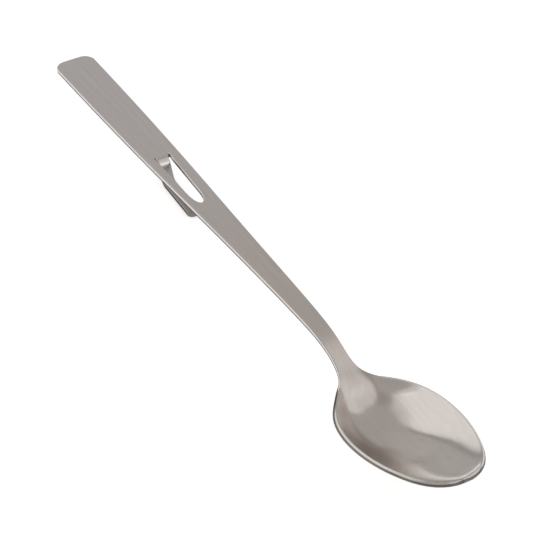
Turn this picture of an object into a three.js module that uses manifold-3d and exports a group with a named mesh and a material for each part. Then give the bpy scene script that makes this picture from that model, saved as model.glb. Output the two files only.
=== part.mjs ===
// A jam spoon: bowl, neck and handle stamped from one steel sheet, and a tongue lanced out of the handle
// and bent under it, so that the spoon hooks over a jar's rim.
// Millimetres. +X runs from the handle's end to the bowl's tip, +Y to the left of that, +Z is up.
// The spoon lies on its bowl and on the tongue's arm, with the origin under the middle of its length.
import * as THREE from "three";
import { NURBSCurve } from "three/addons/curves/NURBSCurve.js";
import { mergeVertices } from "three/addons/utils/BufferGeometryUtils.js";
import Module from "manifold-3d";

// The blank. Its length is along the upper face: the rim leans out at the tip and adds the thickness of the edge.
const LENGTH = 200;
const BOWL_LENGTH = 52.7;
const HANDLE_WIDTH = 11.34;
const NECK_WIDTH = 4.18;
const BOWL_WIDTH = 26.6;
const SHEET = 1.2;
const END_RADIUS = 3.3;

// Heights above the handle's end: the handle climbs straight, the neck turns down, and the rim climbs to the tip
const HANDLE_RISE = 5.75;
const NECK_HEIGHT = 4.44;
const THROAT_HEIGHT = 1.15;
const TIP_HEIGHT = 8.4;
const BOWL_DEPTH = 6.91;
const THROAT_FULLNESS = 4;

// The slot that the tongue is lanced from: it narrows to a long round end and lies a little askew
const SLOT_START = 54.9;
const SLOT_LENGTH = 23.5;
const SLOT_WIDTH = 4.2;
const SLOT_END_WIDTH = 3.4;
const SLOT_END_REACH = 6;
const SLOT_SKEW = THREE.MathUtils.degToRad(-1.5);

// The tongue: a bend down, a leg, a bend back and an arm that lies level, so that the gap for a jar's wall opens.
// It stands a little to the right of the slot's axis.
const TONGUE_WIDTH = 3.3;
const TONGUE_OFFSET = -0.3;
const TIP_REACH = 1.4;
const CLIP_GAP = 4.2;
const LEG_ANGLE = THREE.MathUtils.degToRad(65);
const INSIDE_RADIUS = 1.5;
const TIP_KERF = 1;
const ROOT_GAP = 0.05;

// How finely the curves are cut. The facet along the middle is wider, so that the bowl has a flat to rest on.
const LONG_STEPS = 64;
const CROSS_STEPS = 15;
const MIDDLE_FACET = 0.14;
const CORNER_STEPS = 6;
const BEND_STEPS = 8;
const TIP_STEPS = 8;

const wasm = await Module();
wasm.setup();

const steel = new THREE.MeshStandardMaterial({ color: 0xb4b0ab, metalness: 1, roughness: 0.34 });

// Control rows of the spoon's edge: place along it, half width, height, how deep the sheet is dished there, and how
// full the dish is: 2 is a parabola, and more is flatter in the middle and steeper at the sides.
// The first four lie in one line, so the handle's faces are flat past the slot.
const handleLength = LENGTH - BOWL_LENGTH;
const straight = (share, half) => [share * handleLength, half, share * HANDLE_RISE, 0, THROAT_FULLNESS];
const bowl = (share, ...shape) => [handleLength + share * BOWL_LENGTH, ...shape];
const SECTIONS = [
  straight(0, 0.5 * HANDLE_WIDTH),
  straight(0.278, 0.495 * HANDLE_WIDTH),
  straight(0.614, 0.315 * HANDLE_WIDTH),
  straight(0.886, 0.62 * NECK_WIDTH),
  [0.967 * handleLength, 0.524 * NECK_WIDTH, NECK_HEIGHT, 0, THROAT_FULLNESS],
  bowl(0.042, 0.478 * NECK_WIDTH, THROAT_HEIGHT, 0, THROAT_FULLNESS),
  bowl(0.127, 0.169 * BOWL_WIDTH, 0.083 * TIP_HEIGHT, 0, THROAT_FULLNESS),
  bowl(0.207, 0.272 * BOWL_WIDTH, 0.167 * TIP_HEIGHT, 0.66 * BOWL_DEPTH, THROAT_FULLNESS),
  bowl(0.317, 0.458 * BOWL_WIDTH, 0.264 * TIP_HEIGHT, 0.76 * BOWL_DEPTH, 2.7),
  bowl(0.518, 0.522 * BOWL_WIDTH, 0.426 * TIP_HEIGHT, 0.95 * BOWL_DEPTH, 2.6),
  bowl(0.786, 0.453 * BOWL_WIDTH, 0.727 * TIP_HEIGHT, 0.38 * BOWL_DEPTH, 2.3),
  bowl(1, 0.245 * BOWL_WIDTH, TIP_HEIGHT, 0.18 * BOWL_DEPTH, 2),
  bowl(1, 0, TIP_HEIGHT, 0, 2),
];

// A clamped cubic spline over three columns of the rows
function spline(column) {
  const degree = 3;
  const spans = SECTIONS.length - degree;
  const inner = Array.from({ length: spans - 1 }, (_, i) => i + 1);
  const clamp = (knot) => new Array(degree + 1).fill(knot);
  const knots = [...clamp(0), ...inner, ...clamp(spans)];
  return new NURBSCurve(degree, knots, SECTIONS.map(column));
}
const edge = spline(([place, half, height]) => new THREE.Vector4(place, half, height, 1));
const dish = spline(([place, , , depth, fullness]) => new THREE.Vector4(place, depth, fullness, 1));

// The sheet's upper face: u runs along the spoon from 0 to 1, v across it from -1 to 1
function upperFace(u, v) {
  const rim = edge.getPoint(u);
  const { y: depth, z: fullness } = dish.getPoint(u);
  return new THREE.Vector3(rim.x, v * rim.y, rim.z - depth * (1 - Math.abs(v) ** fullness));
}

// Its upward normal. At the very tip the width is nil, so the slopes are taken just short of it.
function normalAt(u, v) {
  const step = 1e-3;
  const place = Math.min(Math.max(u, step), 1 - 2 * step);
  const along = upperFace(place + step, v).sub(upperFace(place - step, v));
  const across = upperFace(place, v + step).sub(upperFace(place, v - step));
  return along.cross(across).normalize();
}

// Where along the spline the spoon reaches a distance from the handle's end
function paramAt(distance) {
  let low = 0;
  let high = 1;
  while (high - low > 1e-7) {
    const middle = (low + high) / 2;
    if (edge.getPoint(middle).x < distance) low = middle;
    else high = middle;
  }
  return low;
}

// A closed skin over rows of points, each with the sheet's upper points from right to left and its lower ones
function skin(rows) {
  const count = rows[0].upper.length;
  const ring = 2 * count;
  const points = rows.flatMap(({ upper, lower }) => [...upper, ...lower.slice().reverse()]);
  const index = [];
  const quad = (a, b, c, d) => index.push(a, b, c, a, c, d);
  for (let i = 0; i + 1 < rows.length; i++)
    for (let j = 0; j < ring; j++) {
      const here = i * ring;
      const next = here + ring;
      const k = (j + 1) % ring;
      quad(here + j, next + j, next + k, here + k);
    }
  const last = (rows.length - 1) * ring;
  for (let j = 0; j + 1 < count; j++) {
    const under = ring - 1 - j;
    quad(j, j + 1, under - 1, under);
    quad(last + j + 1, last + j, last + under, last + under - 1);
  }
  return solidOf(new THREE.BufferGeometry().setFromPoints(points).setIndex(index));
}

// A closed geometry as a manifold-3d solid, without the triangles that have shrunk to a line
function solidOf(geometry) {
  const welded = mergeVertices(geometry.deleteAttribute("normal").deleteAttribute("uv"), 1e-4);
  const all = welded.index.array;
  const kept = [];
  for (let i = 0; i < all.length; i += 3) {
    const corners = [all[i], all[i + 1], all[i + 2]];
    if (new Set(corners).size === 3) kept.push(...corners);
  }
  const vertProperties = welded.attributes.position.array;
  return new wasm.Manifold(new wasm.Mesh({ numProp: 3, vertProperties, triVerts: new Uint32Array(kept) }));
}

function meshOf(name, solid) {
  const { numProp, vertProperties, triVerts } = solid.getMesh();
  const geometry = new THREE.BufferGeometry();
  geometry.setAttribute("position", new THREE.BufferAttribute(new Float32Array(vertProperties), numProp));
  geometry.setIndex(new THREE.BufferAttribute(new Uint32Array(triVerts), 1));
  geometry.computeVertexNormals();
  const mesh = new THREE.Mesh(geometry, steel);
  mesh.name = name;
  return mesh;
}

// Where the facets meet across the spoon, from -1 to 1
function crossAt(j) {
  const sideSteps = (CROSS_STEPS - 1) / 2;
  const fromMiddle = j <= sideSteps ? j - sideSteps : j - sideSteps - 1;
  const side = j <= sideSteps ? -1 : 1;
  return side * MIDDLE_FACET + (1 - MIDDLE_FACET) * (fromMiddle / sideSteps);
}

// Bowl, neck and handle: sections along the spline, closer together round the handle's corners
function spoonBlank() {
  const corners = Array.from({ length: CORNER_STEPS }, (_, i) => {
    const turn = (i / CORNER_STEPS) * (Math.PI / 2);
    return { u: paramAt(END_RADIUS * (1 - Math.cos(turn))), inset: END_RADIUS * (1 - Math.sin(turn)) };
  });
  const start = paramAt(END_RADIUS);
  const rest = Array.from({ length: LONG_STEPS + 1 }, (_, i) => {
    return { u: start + ((1 - start) * i) / LONG_STEPS, inset: 0 };
  });
  const rows = [...corners, ...rest].map(({ u, inset }) => {
    const half = edge.getPoint(u).y;
    const narrowed = inset ? (half - inset) / half : 1;
    const upper = [];
    const lower = [];
    for (let j = 0; j <= CROSS_STEPS; j++) {
      const v = narrowed * crossAt(j);
      const over = upperFace(u, v);
      const across = u < 1 ? v : 0;
      upper.push(over);
      lower.push(over.clone().addScaledVector(normalAt(u, across), -SHEET));
    }
    return { upper, lower };
  });
  return skin(rows);
}

// The clip's own frame: its origin is on the handle's upper face at the slot's start, +X along the slot
const climb = HANDLE_RISE / handleLength;
const armAngle = Math.atan(climb);
const clipFrame = new THREE.Matrix4()
  .makeTranslation(SLOT_START, 0, climb * SLOT_START)
  .multiply(new THREE.Matrix4().makeRotationZ(SLOT_SKEW))
  .multiply(new THREE.Matrix4().makeRotationY(-armAngle));

function slotCutter() {
  const half = SLOT_WIDTH / 2;
  const endHalf = SLOT_END_WIDTH / 2;
  const straightEnd = SLOT_LENGTH - SLOT_END_REACH;
  const outline = new THREE.Shape();
  outline.moveTo(0, -half);
  outline.lineTo(straightEnd, -endHalf);
  outline.absellipse(straightEnd, 0, SLOT_END_REACH, endHalf, -Math.PI / 2, Math.PI / 2);
  outline.lineTo(0, half);
  const depth = 4 * SHEET;
  const prism = new THREE.ExtrudeGeometry(outline, { depth, bevelEnabled: false, curveSegments: TIP_STEPS });
  prism.translate(0, 0, -depth / 2).applyMatrix4(clipFrame);
  return solidOf(prism);
}

// The middle line of the tongue's sheet, as places with the angle that the sheet has turned down there.
// Laid flat, the tongue is as long as its slot, less the cut at its tip.
function tongueLine() {
  const line = [];
  const radius = INSIDE_RADIUS + SHEET / 2;
  let x = ROOT_GAP;
  let z = -SHEET / 2;
  const run = (length, angle) => {
    x += length * Math.cos(angle);
    z -= length * Math.sin(angle);
    line.push({ x, z, angle });
  };
  const bend = (from, to) => {
    const turn = (to - from) / BEND_STEPS;
    const chord = 2 * radius * Math.sin(Math.abs(turn) / 2);
    for (let i = 0; i < BEND_STEPS; i++) {
      run(chord, from + (i + 0.5) * turn);
      line.at(-1).angle = from + (i + 1) * turn;
    }
  };
  const bendsDrop = radius * (1 + Math.cos(armAngle) - 2 * Math.cos(LEG_ANGLE));
  const leg = (CLIP_GAP + SHEET - bendsDrop) / Math.sin(LEG_ANGLE);
  const bends = radius * (2 * LEG_ANGLE - armAngle);
  const arm = SLOT_LENGTH - TIP_KERF - ROOT_GAP - bends - leg;
  run(0, 0);
  bend(0, LEG_ANGLE);
  run(leg, LEG_ANGLE);
  bend(LEG_ANGLE, armAngle);
  run(arm - TIP_REACH, armAngle);
  for (let i = 1; i <= TIP_STEPS; i++) {
    const turn = (share) => (share / TIP_STEPS) * (Math.PI / 2);
    run(TIP_REACH * (Math.sin(turn(i)) - Math.sin(turn(i - 1))), armAngle);
    line.at(-1).half = i < TIP_STEPS ? (TONGUE_WIDTH / 2) * Math.cos(turn(i)) : 0;
  }
  return line;
}

// The tongue is of one width up to its rounded tip
function clipTongue() {
  const rows = tongueLine().map(({ x, z, angle, half = TONGUE_WIDTH / 2 }) => {
    const rise = new THREE.Vector3(Math.sin(angle), 0, Math.cos(angle)).multiplyScalar(SHEET / 2);
    const sides = [-half, half].map((y) => new THREE.Vector3(x, TONGUE_OFFSET + y, z));
    const place = (point, offset) => point.clone().add(offset).applyMatrix4(clipFrame);
    const drop = rise.clone().negate();
    return { upper: sides.map((p) => place(p, rise)), lower: sides.map((p) => place(p, drop)) };
  });
  return skin(rows);
}

const spoon = new THREE.Group();
spoon.name = "jam_spoon";
spoon.add(meshOf("spoon_body", spoonBlank().subtract(slotCutter())));
spoon.add(meshOf("clip_tongue", clipTongue()));

// The frame's origin is under the middle of the length, on the surface that the spoon lies on
const box = new THREE.Box3().setFromObject(spoon);
spoon.position.set(-(box.min.x + box.max.x) / 2, 0, -box.min.z);

export default spoon;
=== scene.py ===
"""Looks of the jam spoon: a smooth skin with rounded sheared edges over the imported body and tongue.

Sizes are in millimetres from the handle's end, as in the part's source, and a finished skin is moved into
the frame, which is in metres. The floor, the softboxes and the card are in metres too."""

import math

import bmesh
import bpy
from mathutils import Matrix, Vector


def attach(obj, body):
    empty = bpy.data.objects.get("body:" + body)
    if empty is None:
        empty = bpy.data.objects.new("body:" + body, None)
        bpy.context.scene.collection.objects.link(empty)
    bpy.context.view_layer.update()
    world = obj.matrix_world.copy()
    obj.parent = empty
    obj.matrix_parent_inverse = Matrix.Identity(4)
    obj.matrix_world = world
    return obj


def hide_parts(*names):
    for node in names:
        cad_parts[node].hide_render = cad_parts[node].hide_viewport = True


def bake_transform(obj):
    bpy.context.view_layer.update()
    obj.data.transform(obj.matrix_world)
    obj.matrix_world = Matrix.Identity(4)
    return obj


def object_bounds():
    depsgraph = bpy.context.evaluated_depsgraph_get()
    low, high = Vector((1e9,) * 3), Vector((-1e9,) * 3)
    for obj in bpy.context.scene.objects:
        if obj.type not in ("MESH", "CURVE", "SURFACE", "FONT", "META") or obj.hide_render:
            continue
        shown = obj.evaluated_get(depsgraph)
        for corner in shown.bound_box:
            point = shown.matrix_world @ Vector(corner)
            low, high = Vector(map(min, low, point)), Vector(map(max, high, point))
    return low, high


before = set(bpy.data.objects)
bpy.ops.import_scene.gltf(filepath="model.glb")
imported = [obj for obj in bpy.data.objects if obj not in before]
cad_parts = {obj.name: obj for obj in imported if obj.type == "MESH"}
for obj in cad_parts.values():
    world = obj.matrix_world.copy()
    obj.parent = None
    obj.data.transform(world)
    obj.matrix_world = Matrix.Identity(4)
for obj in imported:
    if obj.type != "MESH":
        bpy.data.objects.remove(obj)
cad_box = [list(corner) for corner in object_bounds()]

# The part's own sizes, as in its source
LENGTH = 200
BOWL_LENGTH = 52.7
HANDLE_LENGTH = LENGTH - BOWL_LENGTH
HANDLE_WIDTH = 11.34
NECK_WIDTH = 4.18
BOWL_WIDTH = 26.6
SHEET = 1.2
END_RADIUS = 3.3
HANDLE_RISE = 5.75
NECK_HEIGHT = 4.44
THROAT_HEIGHT = 1.15
TIP_HEIGHT = 8.4
BOWL_DEPTH = 6.91
THROAT_FULLNESS = 4
SLOT_START = 54.9
SLOT_LENGTH = 23.5
SLOT_WIDTH = 4.2
SLOT_END_WIDTH = 3.4
SLOT_END_REACH = 6
SLOT_SKEW = math.radians(-1.5)
TONGUE_WIDTH = 3.3
TONGUE_OFFSET = -0.3
TIP_REACH = 1.4
CLIP_GAP = 4.2
LEG_ANGLE = math.radians(65)
INSIDE_RADIUS = 1.5
TIP_KERF = 1
CLIMB = HANDLE_RISE / HANDLE_LENGTH
ARM_ANGLE = math.atan(CLIMB)
BEND_RADIUS = INSIDE_RADIUS + SHEET / 2

# How far the sheared edges are rounded, the share of the sheet that is cut before the rest tears, and the
# height over which the one look turns into the other
RIM_ROUND = 0.22
SLOT_ROUND = 0.25
RIM_CUT = 0.45
TONGUE_CUT = 0.12
TEAR_STEP = 0.05

# Painted shade on the tongue where it lies below the handle, in the handle's shade: how much of the torn
# edges' dark look it takes on
TONGUE_PAINTED_SHADE = 0.56

# How finely the spoon's skin is divided: round an edge, across, and in rows from the handle's end to the tip
ARC_STEPS = 5
SIDE_COLUMNS = 10
MIDDLE_COLUMNS = 8
CORNER_ROWS = 14
GRIP_ROWS = 24
SLOT_ROWS = 17
SLOT_ROW_STEP = 1
SLOT_END_ROWS = 14
SHAFT_ROWS = 40
BOWL_ROWS = 84

# How finely the slot's outline and the tongue are divided along their lengths
SLOT_SIDE_STEPS = 12
SLOT_END_STEPS = 24
BEND_STEPS = 16
LEG_STEPS = 6
ARM_STEPS = 12
TIP_STEPS = 24

# The shaft's rows end this far before the bowl, where the closer rows of neck and bowl take over
NECK_REACH = 6

# Away from the slot, the lines along its edges lie at this share of the half width. They run over from it
# between this place and the slot, and back to it over this length behind the slot
LANE_SHARE = 0.4
LANE_START = 20
LANE_REACH = 12

# Small distances: for slopes, to stay below a limit, to stay off the tip's point, to count a row as in the
# slot at its start and at its end, and to weld points and drop slivers
NUDGE = 1e-4
TINY = 1e-9
TIP_MARGIN = 2e-3
SLOT_START_SLACK = 0.05
SLOT_END_SLACK = 1e-3
WELD = 1e-4
SLIVER = 1e-5

# How often a range is halved to find a row, and the angle from which the skin shows a sharp edge
HALVINGS = 40
SHARP_ANGLE = math.radians(40)

# From the handle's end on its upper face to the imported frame, whose highest point is the bowl's tip
MILLIMETRE = 0.001
ORIGIN = Vector((cad_box[0][0], 0.0, cad_box[1][2] - MILLIMETRE * TIP_HEIGHT))

# Tones of the steel as (share of the length from the handle's end, tone), and of its grain as (noise, tone)
STEEL_TONES = (
    (0, (0.71, 0.69, 0.685)),
    (0.3, (0.71, 0.68, 0.66)),
    (0.6, (0.70, 0.65, 0.615)),
    (1, (0.70, 0.665, 0.635)),
)
GRAIN_TONES = ((0.3, (0.925, 0.92, 0.915)), (0.7, (1, 1, 1)))
GRAIN_SCALE = (16, 900, 900)
GRAIN_DETAIL = 5.0
GRAIN_CONTRAST = 0.7
GRAIN_BUMP = 0.03
GRAIN_HEIGHT = 0.00002

# Torn edges, dark partly as sheared steel and partly as painted dark reflection, and the tongue's painted
# shade: their tone, and how much they reflect at a glancing angle as (share of that dark look, tone)
TORN_AND_SHADE_TONE = (0.22, 0.21, 0.20)
GLANCE_TONES = ((0, (1, 1, 1)), (1, (0.3, 0.29, 0.28)))

# The satin handle turns into the brighter bowl between these two places along X, in metres
POLISH_START = 0.04
POLISH_END = 0.07
HANDLE_ROUGHNESS = 0.26
BOWL_ROUGHNESS = 0.2

# The room as (height of a direction, tone): dark at the foot of the walls, pale walls and a warmer ceiling
WALL_TONE = (0.47, 0.455, 0.445)
ROOM_TONES = (
    (0.03, (0.16, 0.152, 0.143)),
    (0.08, WALL_TONE),
    (0.75, WALL_TONE),
    (0.95, (0.40, 0.365, 0.35)),
)

# The floor: its tone, its glow, its size, and how far it lies below the spoon, so that their faces stay apart
FLOOR_TONE = (0.8, 0.8, 0.8)
FLOOR_GLOW = 0.6
FLOOR_SIZE = 6
FLOOR_DROP = 0.00005

# Softboxes as azimuth and elevation in degrees, width, height and radiance. Dimmer strips lie round the key,
# so that its reflection fades out on three sides
LAMP_DISTANCE = 1.2
SOFTBOXES = {
    "key": (-145, 30, 1.75, 0.95, 0.92),
    "key_top": (-145, 57, 1.6, 0.22, 0.3),
    "key_right": (-96, 21, 0.35, 0.8, 0.3),
    "key_left": (160, 18, 0.5, 0.8, 0.05),
    "fill": (55, 45, 2.6, 1.7, 0.33),
    "window": (31, 38, 0.6, 0.5, 0.6),
}

# The dark card behind the key: how far it shows past the key, how far behind it lies, and its tone
CARD_MARGIN = 0.14
CARD_GAP = 0.02
CARD_TONE = (0.05, 0.03, 0.02)

# The camera: its angle round from the spoon's right side and above the table, its place in millimetres from
# the handle's end, and its focal length in pixels of a picture this wide
CAMERA_TURN = math.radians(60.343)
CAMERA_LIFT = math.radians(40)
CAMERA_PLACE = Vector((508.55, -224.035, 385.03))
FOCAL_PIXELS = 2400
PICTURE_PIXELS = 550
SENSOR_WIDTH = 36.0


def straight(share, half):
    """Control row of the straight handle at a share of its length."""
    return (share * HANDLE_LENGTH, half, share * HANDLE_RISE, 0, THROAT_FULLNESS)


def bowl(share, *shape):
    """Control row of the bowl at a share of its length."""
    return (HANDLE_LENGTH + share * BOWL_LENGTH, *shape)


# Control rows of the spoon's edge: place, half width, height, depth of the dish and how full it is
ROWS = [Vector(row) for row in (
    straight(0, 0.5 * HANDLE_WIDTH),
    straight(0.278, 0.495 * HANDLE_WIDTH),
    straight(0.614, 0.315 * HANDLE_WIDTH),
    straight(0.886, 0.62 * NECK_WIDTH),
    (0.967 * HANDLE_LENGTH, 0.524 * NECK_WIDTH, NECK_HEIGHT, 0, THROAT_FULLNESS),
    bowl(0.042, 0.478 * NECK_WIDTH, THROAT_HEIGHT, 0, THROAT_FULLNESS),
    bowl(0.127, 0.169 * BOWL_WIDTH, 0.083 * TIP_HEIGHT, 0, THROAT_FULLNESS),
    bowl(0.207, 0.272 * BOWL_WIDTH, 0.167 * TIP_HEIGHT, 0.66 * BOWL_DEPTH, THROAT_FULLNESS),
    bowl(0.317, 0.458 * BOWL_WIDTH, 0.264 * TIP_HEIGHT, 0.76 * BOWL_DEPTH, 2.7),
    bowl(0.518, 0.522 * BOWL_WIDTH, 0.426 * TIP_HEIGHT, 0.95 * BOWL_DEPTH, 2.6),
    bowl(0.786, 0.453 * BOWL_WIDTH, 0.727 * TIP_HEIGHT, 0.38 * BOWL_DEPTH, 2.3),
    bowl(1, 0.245 * BOWL_WIDTH, TIP_HEIGHT, 0.18 * BOWL_DEPTH, 2),
    bowl(1, 0, TIP_HEIGHT, 0, 2),
)]
DEGREE = 3
SPANS = len(ROWS) - DEGREE


def row_at(u):
    """The row at u from 0 to 1 along a clamped cubic spline over the control rows."""
    t = min(max(u, 0.0), 1 - TINY) * SPANS
    first = int(t)
    points = [ROWS[first + j] for j in range(DEGREE + 1)]
    for level in range(1, DEGREE + 1):
        for j in range(DEGREE, level - 1, -1):
            low = max(first + j - DEGREE, 0)
            high = min(first + j + 1 - level, SPANS)
            points[j] = points[j - 1].lerp(points[j], (t - low) / (high - low))
    return points[DEGREE]


def param_at(place):
    """The u of the row at a place along the spoon."""
    low, high = 0.0, 1.0
    for _ in range(HALVINGS):
        middle = (low + high) / 2
        if row_at(middle)[0] < place:
            low = middle
        else:
            high = middle
    return low


def height_on(row, y):
    """Height of the sheet's upper face on a row, at a distance from the spoon's middle."""
    _, half, height, depth, fullness = row
    return height - depth * (1 - abs(y / half) ** fullness)


def upper_face(u, y):
    """Point and normal of the sheet's upper face on the row at u."""
    here = min(max(u, NUDGE), 1 - NUDGE)
    before, after = row_at(here - NUDGE), row_at(here + NUDGE)
    along = (height_on(after, y) - height_on(before, y)) / (after[0] - before[0])
    row = row_at(u)
    across = (height_on(row, y + NUDGE) - height_on(row, y - NUDGE)) / (2 * NUDGE)
    return Vector((row[0], y, height_on(row, y))), Vector((-along, -across, 1.0)).normalized()


def smooth(value, low, high):
    """From 0 at low to 1 at high, with no corners."""
    t = min(max((value - low) / (high - low), 0.0), 1.0)
    return t * t * (3 - 2 * t)


def spread(first, last, count):
    """Evenly spaced values from first up to last, without last itself."""
    return [first + k / count * (last - first) for k in range(count)]


def edge_profile(radius, cut):
    """A sheared edge as (reach outward, drop): rounding, cut wall, torn wall and rounding again."""
    turns = [k / ARC_STEPS * math.pi / 2 for k in range(1, ARC_STEPS + 1)]
    arc = [(radius * math.sin(turn), radius * (1 - math.cos(turn))) for turn in turns]
    tear = [(radius, cut * SHEET), (radius, cut * SHEET + TEAR_STEP)]
    return arc + tear + [(reach, SHEET - drop) for reach, drop in reversed(arc)]


def plate(name, rows, is_open, loops, cut, torn_and_painted_shade):
    """A sheet from rows of (point, normal), with painted shade from 0 to 1 for each row and holes where
    is_open says. Its edges are rounded along loops of (row, column, way out, radius) and dark below the cut,
    as torn steel and painted shade."""
    bm = bmesh.new()
    torn_and_shade_layer = bm.verts.layers.float.new("torn_and_painted_shade")
    top = [[bm.verts.new(point) for point, _ in row] for row in rows]
    under = [[bm.verts.new(point - SHEET * normal) for point, normal in row] for row in rows]
    for verts, level in zip(top + under, torn_and_painted_shade + torn_and_painted_shade):
        for vert in verts:
            vert[torn_and_shade_layer] = level
    for i in range(len(rows) - 1):
        for j in range(len(rows[0]) - 1):
            if is_open(i, j):
                continue
            corners = ((i, j), (i + 1, j), (i + 1, j + 1), (i, j + 1))
            bm.faces.new([top[a][b] for a, b in corners])
            bm.faces.new([under[a][b] for a, b in reversed(corners)])
    for loop in loops:
        columns = []
        for i, j, outward, radius in loop:
            point, normal = rows[i][j]
            profile = edge_profile(radius, cut)
            column = [top[i][j]]
            column += [bm.verts.new(point + reach * outward - drop * normal) for reach, drop in profile]
            # Upper face, rounding and cut wall take the row's painted shade, and what follows is torn: dark
            # steel with painted shade
            for k, vert in enumerate(column):
                vert[torn_and_shade_layer] = 1.0 if k > ARC_STEPS + 1 else torn_and_painted_shade[i]
            columns.append(column + [under[i][j]])
        for here, after in zip(columns, columns[1:] + columns[:1]):
            for k in range(len(here) - 1):
                bm.faces.new((here[k], here[k + 1], after[k + 1], after[k]))
    return finished(name, bm)


def finished(name, bm):
    """An object in the frame from a plate's faces."""
    loose = [vert for vert in bm.verts if not vert.link_faces]
    bmesh.ops.delete(bm, geom=loose, context="VERTS")
    bmesh.ops.remove_doubles(bm, verts=bm.verts, dist=WELD)
    bmesh.ops.dissolve_degenerate(bm, edges=bm.edges, dist=SLIVER)
    bmesh.ops.recalc_face_normals(bm, faces=bm.faces)
    to_frame = Matrix.Translation(ORIGIN) @ Matrix.Scale(MILLIMETRE, 4)
    bmesh.ops.transform(bm, matrix=to_frame, verts=bm.verts)
    for face in bm.faces:
        face.smooth = True
    mesh = bpy.data.meshes.new(name)
    bm.to_mesh(mesh)
    bm.free()
    mesh.set_sharp_from_angle(angle=SHARP_ANGLE)
    piece = bpy.data.objects.new(name, mesh)
    bpy.context.collection.objects.link(piece)
    return piece


def rim(s):
    """The u and the point of the spoon's +Y edge: round the handle's corner for s from -1 to 0, then on to
    the tip at 1."""
    if s < 0:
        turn = (1 + s) * math.pi / 2
        inset = END_RADIUS * (1 - math.sin(turn))
        u = param_at(END_RADIUS * (1 - math.cos(turn)))
    else:
        start = param_at(END_RADIUS)
        inset = 0.0
        u = start + s * (1 - start)
    place, half, height, _, _ = row_at(u)
    return u, Vector((place, half - inset, height))


def rim_inset(s):
    """Where the upper face starts to round over beside a place on the rim, and the way out from there."""
    first, last = (-1.0, -TINY) if s < 0 else (0.0, 1.0)
    u, point = rim(s)
    tangent = (rim(min(s + NUDGE, last))[1] - rim(max(s - NUDGE, first))[1]).normalized()
    off_tip = min(u, 1 - TIP_MARGIN)
    _, normal = upper_face(off_tip, row_at(off_tip)[1])
    outward = normal.cross(tangent).normalized()
    return point - RIM_ROUND * outward, outward


def to_slot(x, y):
    """A point of the slot's outline, whose axis lies a little askew, on the handle."""
    return (SLOT_START + x * math.cos(SLOT_SKEW) - y * math.sin(SLOT_SKEW),
            x * math.sin(SLOT_SKEW) + y * math.cos(SLOT_SKEW))


def slot_side(side):
    """One side of the slot from its start to its round end, as the (place, y) where its rounding starts and
    the way from there into the slot."""
    end_half = SLOT_END_WIDTH / 2
    straight_end = SLOT_LENGTH - SLOT_END_REACH
    xs = spread(0, straight_end, SLOT_SIDE_STEPS)
    outline = list(zip(xs, spread(SLOT_WIDTH / 2, end_half, SLOT_SIDE_STEPS)))
    for k in range(SLOT_END_STEPS + 1):
        turn = k / SLOT_END_STEPS * math.pi / 2
        outline.append((straight_end + SLOT_END_REACH * math.sin(turn), end_half * math.cos(turn)))
    sides = []
    for k, (x, y) in enumerate(outline):
        before = outline[max(k - 1, 0)]
        after = outline[k + 1] if k + 1 < len(outline) else (x, -before[1])
        along = Vector((after[0] - before[0], after[1] - before[1])).normalized()
        away = Vector((-along.y, along.x))
        place = to_slot(x + SLOT_ROUND * away.x, side * (y + SLOT_ROUND * away.y))
        inward = to_slot(x, side * y)
        sides.append((place, Vector((inward[0] - place[0], inward[1] - place[1])).normalized()))
    return sides


def between(sides, place):
    """The rounding's y and its way into the slot at a place along one side."""
    for (here, way), (there, way_there) in zip(sides, sides[1:]):
        if here[0] <= place <= there[0]:
            share = (place - here[0]) / (there[0] - here[0])
            return here[1] + share * (there[1] - here[1]), way.lerp(way_there, share)
    nearest, way = sides[0] if place < sides[0][0][0] else sides[-1]
    return nearest[1], way


def row_places(slot_end):
    """Places of the skin's rows along the rim, closer at the handle's corner, the slot's end and the tip."""
    stations = spread(END_RADIUS, SLOT_START, GRIP_ROWS)
    stations += [SLOT_START + k * SLOT_ROW_STEP for k in range(SLOT_ROWS)]
    end_reach = slot_end - SLOT_START - SLOT_ROWS * SLOT_ROW_STEP
    end_turns = [k / SLOT_END_ROWS * math.pi / 2 for k in range(SLOT_END_ROWS + 1)]
    stations += [slot_end - end_reach * math.cos(turn) for turn in end_turns]
    shaft_end = HANDLE_LENGTH - NECK_REACH
    stations += spread(slot_end, shaft_end, SHAFT_ROWS)[1:] + [shaft_end]
    start = param_at(END_RADIUS)
    places = spread(-1, 0, CORNER_ROWS)
    places += [(param_at(x) - start) / (1 - start) for x in stations]
    last = places[-1]
    bowl_turns = [(k + 1) / BOWL_ROWS * math.pi / 2 for k in range(BOWL_ROWS)]
    return places + [last + (1 - last) * math.sin(turn) for turn in bowl_turns]


def in_slot(x, slot_end):
    """Whether a row at x crosses the slot."""
    return SLOT_START - SLOT_START_SLACK <= x <= slot_end + SLOT_END_SLACK


def lanes(x, half, low_side, high_side, slot_end):
    """The y of the two lines that part the skin's middle columns from the others: along the slot's edges, and
    at a share of the half width away from it."""
    low, high = between(low_side, x)[0], between(high_side, x)[0]
    middle = (low + high) / 2
    width = (high - low) / 2
    plain_width = LANE_SHARE * half
    if x < SLOT_START:
        near = smooth(x, LANE_START, SLOT_START)
        width = plain_width + (width - plain_width) * near
        middle *= near
    elif not in_slot(x, slot_end):
        far = smooth(x, slot_end, slot_end + LANE_REACH)
        width = plain_width * far
        middle *= 1 - far
    return middle - width, middle + width


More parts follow.
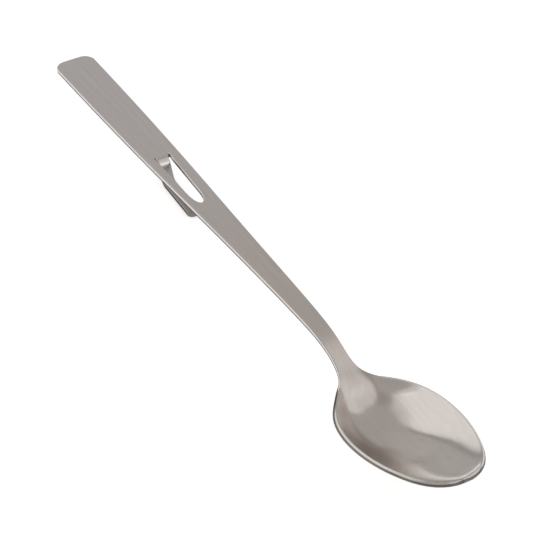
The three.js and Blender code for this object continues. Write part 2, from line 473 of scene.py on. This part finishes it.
def spoon_skin():
    """Bowl, neck and handle as one sheet with the slot in it."""
    low_side, high_side = slot_side(-1), slot_side(1)
    slot_end = high_side[-1][0][0]
    rows, edge, hole = [], [], []
    for s in row_places(slot_end):
        inset, outward = rim_inset(s)
        half = inset.y
        u = param_at(inset.x)
        low, high = lanes(inset.x, half, low_side, high_side, slot_end)
        ys = spread(-half, low, SIDE_COLUMNS)
        ys += spread(low, high, MIDDLE_COLUMNS)
        ys += spread(high, half, SIDE_COLUMNS) + [half]
        rows.append([upper_face(u, y) for y in ys])
        edge.append(outward)
        if in_slot(inset.x, slot_end):
            hole.append(len(rows) - 1)
    last = len(rows[0]) - 1
    end_way = Vector((-1.0, 0.0, -CLIMB)).normalized()
    mirrored = [Vector((way.x, -way.y, way.z)) for way in edge]
    outer = [(0, j, end_way, RIM_ROUND) for j in range(1, last)]
    outer += [(i, last, edge[i], RIM_ROUND) for i in range(len(rows))]
    outer += [(i, 0, mirrored[i], RIM_ROUND) for i in range(len(rows) - 2, -1, -1)]
    first_lane, last_lane = SIDE_COLUMNS, SIDE_COLUMNS + MIDDLE_COLUMNS
    inner = []
    for sides, lane, order in ((low_side, first_lane, hole), (high_side, last_lane, hole[-2::-1])):
        for i in order:
            way = between(sides, rows[i][lane][0].x)[1]
            way = Vector((way.x, way.y, way.x * CLIMB)).normalized()
            inner.append((i, lane, way, SLOT_ROUND if i > hole[0] else 0.0))
    root_way = Vector((1.0, 0.0, CLIMB))
    inner += [(hole[0], j, root_way, 0.0) for j in range(last_lane - 1, first_lane, -1)]

    def is_open(i, j):
        return hole[0] <= i < hole[-1] and first_lane <= j < last_lane

    return plate("spoon_skin", rows, is_open, [outer, inner], RIM_CUT, [0.0] * len(rows))


def tongue_line():
    """The tongue's middle line as steps of (x, z, angle turned down), from its root on the handle's face."""
    bends_drop = BEND_RADIUS * (1 + math.cos(ARM_ANGLE) - 2 * math.cos(LEG_ANGLE))
    leg = (CLIP_GAP + SHEET - bends_drop) / math.sin(LEG_ANGLE)
    bends = BEND_RADIUS * (2 * LEG_ANGLE - ARM_ANGLE)
    arm = SLOT_LENGTH - TIP_KERF - bends - leg
    line = [(0.0, -SHEET / 2, 0.0)]

    def run(length, turn_from, turn_to, steps):
        step = length / steps
        for k in range(steps):
            x, z, _ = line[-1]
            angle = turn_from + (k + 0.5) / steps * (turn_to - turn_from)
            after = turn_from + (k + 1) / steps * (turn_to - turn_from)
            line.append((x + step * math.cos(angle), z - step * math.sin(angle), after))

    run(BEND_RADIUS * LEG_ANGLE, 0.0, LEG_ANGLE, BEND_STEPS)
    run(leg, LEG_ANGLE, LEG_ANGLE, LEG_STEPS)
    run(BEND_RADIUS * (LEG_ANGLE - ARM_ANGLE), LEG_ANGLE, ARM_ANGLE, BEND_STEPS)
    run(arm - TIP_REACH, ARM_ANGLE, ARM_ANGLE, ARM_STEPS)
    return line


def tongue_spots():
    """The tongue as (x, z, angle, half width, way out along it, way out across it), with its round tip."""
    line = tongue_line()
    half = TONGUE_WIDTH / 2
    spots = [(x, z, angle, half, 0.0, 1.0) for x, z, angle in line]
    end_x, end_z, _ = line[-1]
    for k in range(1, TIP_STEPS + 1):
        turn = k / TIP_STEPS * math.pi / 2
        reach = TIP_REACH * math.sin(turn)
        x = end_x + reach * math.cos(ARM_ANGLE)
        z = end_z - reach * math.sin(ARM_ANGLE)
        away = Vector((math.sin(turn) / TIP_REACH, math.cos(turn) / half)).normalized()
        spots.append((x, z, ARM_ANGLE, half * math.cos(turn), away.x, away.y))
    return spots


def tongue_skin():
    """The tongue as one sheet, from its root in the slot's start to its tip."""
    spots = tongue_spots()
    to_handle = Matrix.Rotation(SLOT_SKEW, 3, "Z") @ Matrix.Rotation(-ARM_ANGLE, 3, "Y")
    base = Vector((SLOT_START, 0.0, CLIMB * SLOT_START))
    rows, edge = [], []
    for x, z, angle, half, out_along, out_across in spots:
        along = Vector((math.cos(angle), 0.0, -math.sin(angle)))
        normal = Vector((math.sin(angle), 0.0, math.cos(angle)))
        centre = Vector((x, 0.0, z)) + SHEET / 2 * normal - SLOT_ROUND * out_along * along
        inner = max(half - SLOT_ROUND * out_across, 0.0)
        ys = [TONGUE_OFFSET + (2 * j / MIDDLE_COLUMNS - 1) * inner for j in range(MIDDLE_COLUMNS + 1)]
        points = [centre + Vector((0.0, y, 0.0)) for y in ys]
        rows.append([(base + to_handle @ point, to_handle @ normal) for point in points])
        ways = [out_along * along + Vector((0.0, side * out_across, 0.0)) for side in (-1, 1)]
        edge.append([to_handle @ way for way in ways])
    last = len(rows[0]) - 1
    loop = [(i, last, edge[i][1], SLOT_ROUND) for i in range(len(rows))]
    loop += [(i, 0, edge[i][0], SLOT_ROUND) for i in range(len(rows) - 2, -1, -1)]
    root_way = to_handle @ Vector((-1.0, 0.0, 0.0))
    loop += [(0, j, root_way, 0.0) for j in range(1, last)]
    # Painted shade on the tongue, darker the further it drops below the handle into the handle's shade
    torn_and_painted_shade = [TONGUE_PAINTED_SHADE * smooth(-z, SHEET, CLIP_GAP / 2) for _, z, *_ in spots]
    return plate("tongue_skin", rows, lambda i, j: False, [loop], TONGUE_CUT, torn_and_painted_shade)


def opaque(tone):
    """A tone as a colour that isn't see-through."""
    return (*tone, 1)


def ramp(nodes, stops):
    """A colour ramp through stops of (position, tone), from the lowest to the highest."""
    node = nodes.new("ShaderNodeValToRGB")
    elements = node.color_ramp.elements
    for element, (position, tone) in zip(elements, (stops[0], stops[-1])):
        element.position = position
        element.color = opaque(tone)
    for position, tone in stops[1:-1]:
        elements.new(position).color = opaque(tone)
    return node


def map_range(nodes, low, high, to_low, to_high):
    """A node that turns values from low to high into values from to_low to to_high."""
    node = nodes.new("ShaderNodeMapRange")
    for socket, value in (("From Min", low), ("From Max", high), ("To Min", to_low), ("To Max", to_high)):
        node.inputs[socket].default_value = value
    return node


def steel(name):
    """Satin steel with fine grain along the spoon, brighter in the bowl, dark where an edge tore (partly
    painted shade) and with painted shade on the tongue below the handle.
    """
    material = bpy.data.materials.new(name)
    material.use_nodes = True
    nodes, links = material.node_tree.nodes, material.node_tree.links
    shader = nodes["Principled BSDF"]
    shader.inputs["Metallic"].default_value = 1.0
    place = nodes.new("ShaderNodeTexCoord")
    along = nodes.new("ShaderNodeSeparateXYZ")
    links.new(place.outputs["Object"], along.inputs["Vector"])
    # The painted shade mask: torn edges, dark partly as painted dark reflection, and the tongue under the
    # handle
    torn_and_painted_shade = nodes.new("ShaderNodeAttribute")
    torn_and_painted_shade.attribute_name = "torn_and_painted_shade"

    # Grain, drawn out along the spoon
    stretch = nodes.new("ShaderNodeMapping")
    stretch.inputs["Scale"].default_value = GRAIN_SCALE
    links.new(place.outputs["Object"], stretch.inputs["Vector"])
    grain = nodes.new("ShaderNodeTexNoise")
    grain.inputs["Scale"].default_value = 1.0
    grain.inputs["Detail"].default_value = GRAIN_DETAIL
    grain.inputs["Roughness"].default_value = GRAIN_CONTRAST
    links.new(stretch.outputs["Vector"], grain.inputs["Vector"])
    bump = nodes.new("ShaderNodeBump")
    bump.inputs["Strength"].default_value = GRAIN_BUMP
    bump.inputs["Distance"].default_value = GRAIN_HEIGHT
    links.new(grain.outputs["Fac"], bump.inputs["Height"])
    links.new(bump.outputs["Normal"], shader.inputs["Normal"])

    # Colour: the tone along the spoon, times the grain's, and the dark tone of torn edges and painted shade
    share = map_range(nodes, cad_box[0][0], cad_box[1][0], 0.0, 1.0)
    links.new(along.outputs["X"], share.inputs["Value"])
    tint = ramp(nodes, STEEL_TONES)
    links.new(share.outputs["Result"], tint.inputs["Fac"])
    lines = ramp(nodes, GRAIN_TONES)
    links.new(grain.outputs["Fac"], lines.inputs["Fac"])
    colour = nodes.new("ShaderNodeMix")
    colour.data_type = "RGBA"
    colour.blend_type = "MULTIPLY"
    colour.inputs["Factor"].default_value = 1.0
    links.new(tint.outputs["Color"], colour.inputs["A"])
    links.new(lines.outputs["Color"], colour.inputs["B"])
    # Painted shade: the dark torn-edge tone, mixed in on the edges and on the tongue below the handle
    edge = nodes.new("ShaderNodeMix")
    edge.data_type = "RGBA"
    edge.inputs["B"].default_value = opaque(TORN_AND_SHADE_TONE)
    links.new(torn_and_painted_shade.outputs["Fac"], edge.inputs["Factor"])
    links.new(colour.outputs["Result"], edge.inputs["A"])
    links.new(edge.outputs["Result"], shader.inputs["Base Color"])

    # Gloss: glancing reflection dimmed where edges tore and where shade is painted
    glance = ramp(nodes, GLANCE_TONES)
    links.new(torn_and_painted_shade.outputs["Fac"], glance.inputs["Fac"])
    links.new(glance.outputs["Color"], shader.inputs["Specular Tint"])
    rough = map_range(nodes, POLISH_START, POLISH_END, HANDLE_ROUGHNESS, BOWL_ROUGHNESS)
    rough.interpolation_type = "SMOOTHSTEP"
    links.new(along.outputs["X"], rough.inputs["Value"])
    links.new(rough.outputs["Result"], shader.inputs["Roughness"])
    return material


def floor_paint():
    """Pale floor that looks white to camera, mirror and see-through rays, and still takes the shadow."""
    paint = bpy.data.materials.new("floor_paint")
    paint.use_nodes = True
    nodes, links = paint.node_tree.nodes, paint.node_tree.links
    pale = nodes["Principled BSDF"]
    pale.inputs["Base Color"].default_value = opaque(FLOOR_TONE)
    pale.inputs["Roughness"].default_value = 1.0
    pale.inputs["Specular IOR Level"].default_value = 0.0
    pale.inputs["Emission Color"].default_value = (1, 1, 1, 1)
    path = nodes.new("ShaderNodeLightPath")
    either = nodes.new("ShaderNodeMath")
    either.operation = "MAXIMUM"
    links.new(path.outputs["Is Camera Ray"], either.inputs[0])
    links.new(path.outputs["Is Glossy Ray"], either.inputs[1])
    any_of = nodes.new("ShaderNodeMath")
    any_of.operation = "MAXIMUM"
    links.new(either.outputs[0], any_of.inputs[0])
    links.new(path.outputs["Is Transmission Ray"], any_of.inputs[1])
    level = nodes.new("ShaderNodeMath")
    level.operation = "MULTIPLY"
    level.inputs[1].default_value = FLOOR_GLOW
    links.new(any_of.outputs[0], level.inputs[0])
    links.new(level.outputs[0], pale.inputs["Emission Strength"])
    return paint


def softbox(name, azimuth, elevation, width, height, radiance):
    """A rectangular lamp turned to the spoon, as bright as a surface of the given radiance."""
    lamp = bpy.data.lights.new(name, "AREA")
    lamp.shape = "RECTANGLE"
    lamp.size = width
    lamp.size_y = height
    lamp.energy = math.pi * width * height * radiance
    box = bpy.data.objects.new(name, lamp)
    turn, lift = math.radians(azimuth), math.radians(elevation)
    way = Vector((math.cos(turn) * math.cos(lift), math.sin(turn) * math.cos(lift), math.sin(lift)))
    box.location = LAMP_DISTANCE * way
    box.rotation_euler = way.to_track_quat("Z", "Y").to_euler()
    bpy.context.collection.objects.link(box)
    return box


def backing_card(box):
    """A dark card behind a softbox, which shows past its lower and left edges as a thin line in the bowl."""
    bpy.ops.mesh.primitive_plane_add(size=1)
    card = bpy.context.object
    card.name = box.name + "_card"
    behind = Matrix.Translation((-CARD_MARGIN / 2, -CARD_MARGIN / 2, CARD_GAP))
    size = Matrix.Diagonal((box.data.size + CARD_MARGIN, box.data.size_y + CARD_MARGIN, 1, 1))
    card.matrix_world = box.matrix_basis @ behind @ size
    dark = bpy.data.materials.new("dark_card")
    dark.use_nodes = True
    dark.node_tree.nodes["Principled BSDF"].inputs["Base Color"].default_value = opaque(CARD_TONE)
    card.data.materials.append(dark)


def studio():
    """Surroundings, floor and softboxes."""
    world = bpy.data.worlds.new("studio")
    world.use_nodes = True
    bpy.context.scene.world = world
    nodes, links = world.node_tree.nodes, world.node_tree.links
    way = nodes.new("ShaderNodeTexCoord")
    height = nodes.new("ShaderNodeSeparateXYZ")
    room = ramp(nodes, ROOM_TONES)
    links.new(way.outputs["Generated"], height.inputs["Vector"])
    links.new(height.outputs["Z"], room.inputs["Fac"])
    links.new(room.outputs["Color"], nodes["Background"].inputs["Color"])
    bpy.ops.mesh.primitive_plane_add(size=FLOOR_SIZE, location=(0, 0, -FLOOR_DROP))
    floor = bpy.context.object
    floor.name = "floor"
    floor.data.materials.append(floor_paint())
    boxes = {name: softbox(name, *setting) for name, setting in SOFTBOXES.items()}
    backing_card(boxes["key"])


def camera():
    """The photograph's camera, above the table and to the right of the bowl's end."""
    level = math.cos(CAMERA_LIFT)
    back = Vector((math.sin(CAMERA_TURN) * level, -math.cos(CAMERA_TURN) * level, math.sin(CAMERA_LIFT)))
    right = Vector((math.cos(CAMERA_TURN), math.sin(CAMERA_TURN), 0.0))
    up = back.cross(right)
    lens = bpy.data.cameras.new("camera")
    lens.sensor_fit = "HORIZONTAL"
    lens.sensor_width = SENSOR_WIDTH
    lens.lens = SENSOR_WIDTH * FOCAL_PIXELS / PICTURE_PIXELS
    eye = bpy.data.objects.new("camera", lens)
    place = Matrix.Translation(ORIGIN + MILLIMETRE * CAMERA_PLACE)
    eye.matrix_world = place @ Matrix((right, up, back)).transposed().to_4x4()
    bpy.context.collection.objects.link(eye)
    bpy.context.scene.camera = eye


camera()
studio()
satin = steel("satin_steel")
spoon = spoon_skin()
tongue = tongue_skin()
for piece, node in ((spoon, "spoon_body"), (tongue, "clip_tongue")):
    piece.data.materials.append(satin)
    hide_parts(node)
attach(spoon, "spoon")
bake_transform(tongue)

bpy.context.scene.view_settings.view_transform = "Standard"
